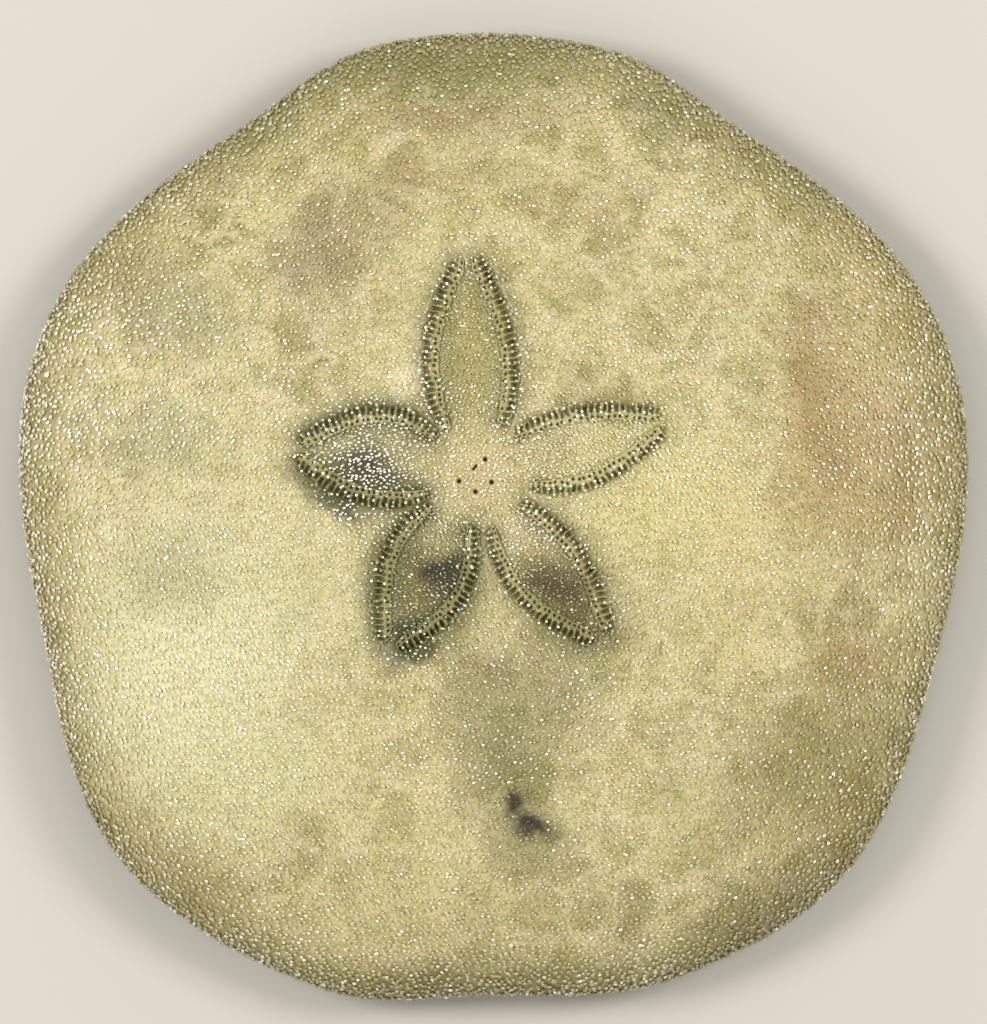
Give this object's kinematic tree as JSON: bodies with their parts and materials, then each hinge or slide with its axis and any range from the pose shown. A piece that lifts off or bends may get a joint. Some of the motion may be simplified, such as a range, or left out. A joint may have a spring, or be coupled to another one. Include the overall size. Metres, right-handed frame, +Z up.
{
  "type": "sand dollar",
  "caption": "Low, rounded five-lobed sand dollar with a petal pattern on top and a coat of short spines, lying on its flat underside.",
  "frame": {"origin": "on the resting plane, under the middle of the outline's bounding box", "axes": "+Z up through the crown, +Y to the animal's front along the front petal, +X to its right seen from above"},
  "size_m": [0.0196, 0.02, 0.0036],
  "materials": {
    "spiny_test": "chalky calcite test under a felt of pale straw spines with glossy tips"
  },
  "bodies": {
    "root": {"sand_dollar": "spiny_test"}
  },
  "joints": []
}
